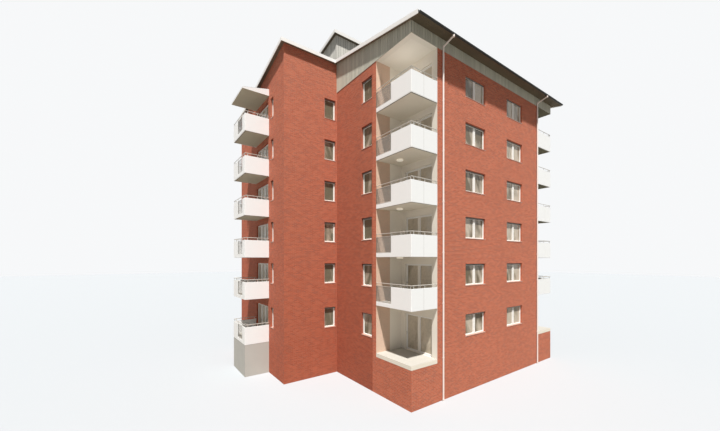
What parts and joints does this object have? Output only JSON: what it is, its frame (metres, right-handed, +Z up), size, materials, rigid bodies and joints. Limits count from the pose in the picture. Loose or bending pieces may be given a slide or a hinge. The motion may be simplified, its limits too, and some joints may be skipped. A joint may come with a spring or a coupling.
{
  "type": "apartment block",
  "caption": "Tall brick apartment block with recessed corner balconies, a side bay with projecting balconies and a low pitched roof.",
  "frame": {"origin": "middle of the overall box, on the ground", "axes": "+X to the right along the front wall, +Y from the front wall to the rear, +Z up"},
  "size_m": [22.063, 18.92, 24.9259],
  "materials": {
    "brick": "red facing brick",
    "plaster": "beige render",
    "concrete": "smooth concrete",
    "boards": "painted vertical boards",
    "white_panel": "smooth white",
    "glass": "clear",
    "steel": "pale paint",
    "roofing": "dark sheet",
    "gutter": "dark paint",
    "white_paint": "white paint"
  },
  "bodies": {
    "root": {"front_wall": "brick", "left_wall": "brick", "bay_front_wall": "brick", "bay_side_wall": "brick", "rear_wall": "brick", "right_wall": "brick", "recess_back_walls": "brick", "recess_bases": "brick", "recess_side_walls": "plaster", "terrace_base": "plaster", "main_floors": "concrete", "front_floors": "concrete", "bay_floors": "concrete", "attic_floor": "concrete", "corner_balcony_slabs": "concrete", "side_balcony_slabs": "concrete", "front_cladding": "boards", "left_gable": "boards", "right_gable": "boards", "penthouse_walls": "boards", "parapets_front": "white_panel", "parapets_side": "white_panel", "balcony_canopy": "white_panel", "railing_glass": "glass", "front_glass": "glass", "left_glass": "glass", "rear_glass": "glass", "right_glass": "glass", "door_glass": "glass", "handrails_front": "steel", "handrails_side": "steel", "downpipes": "steel", "front_roof": "roofing", "back_roof": "roofing", "penthouse_roof": "roofing", "gutters": "gutter", "edge_boards": "white_paint", "penthouse_boards": "white_paint", "front_windows": "white_paint", "left_windows": "white_paint", "rear_windows": "white_paint", "right_windows": "white_paint", "balcony_doors": "white_paint"}
  },
  "joints": []
}
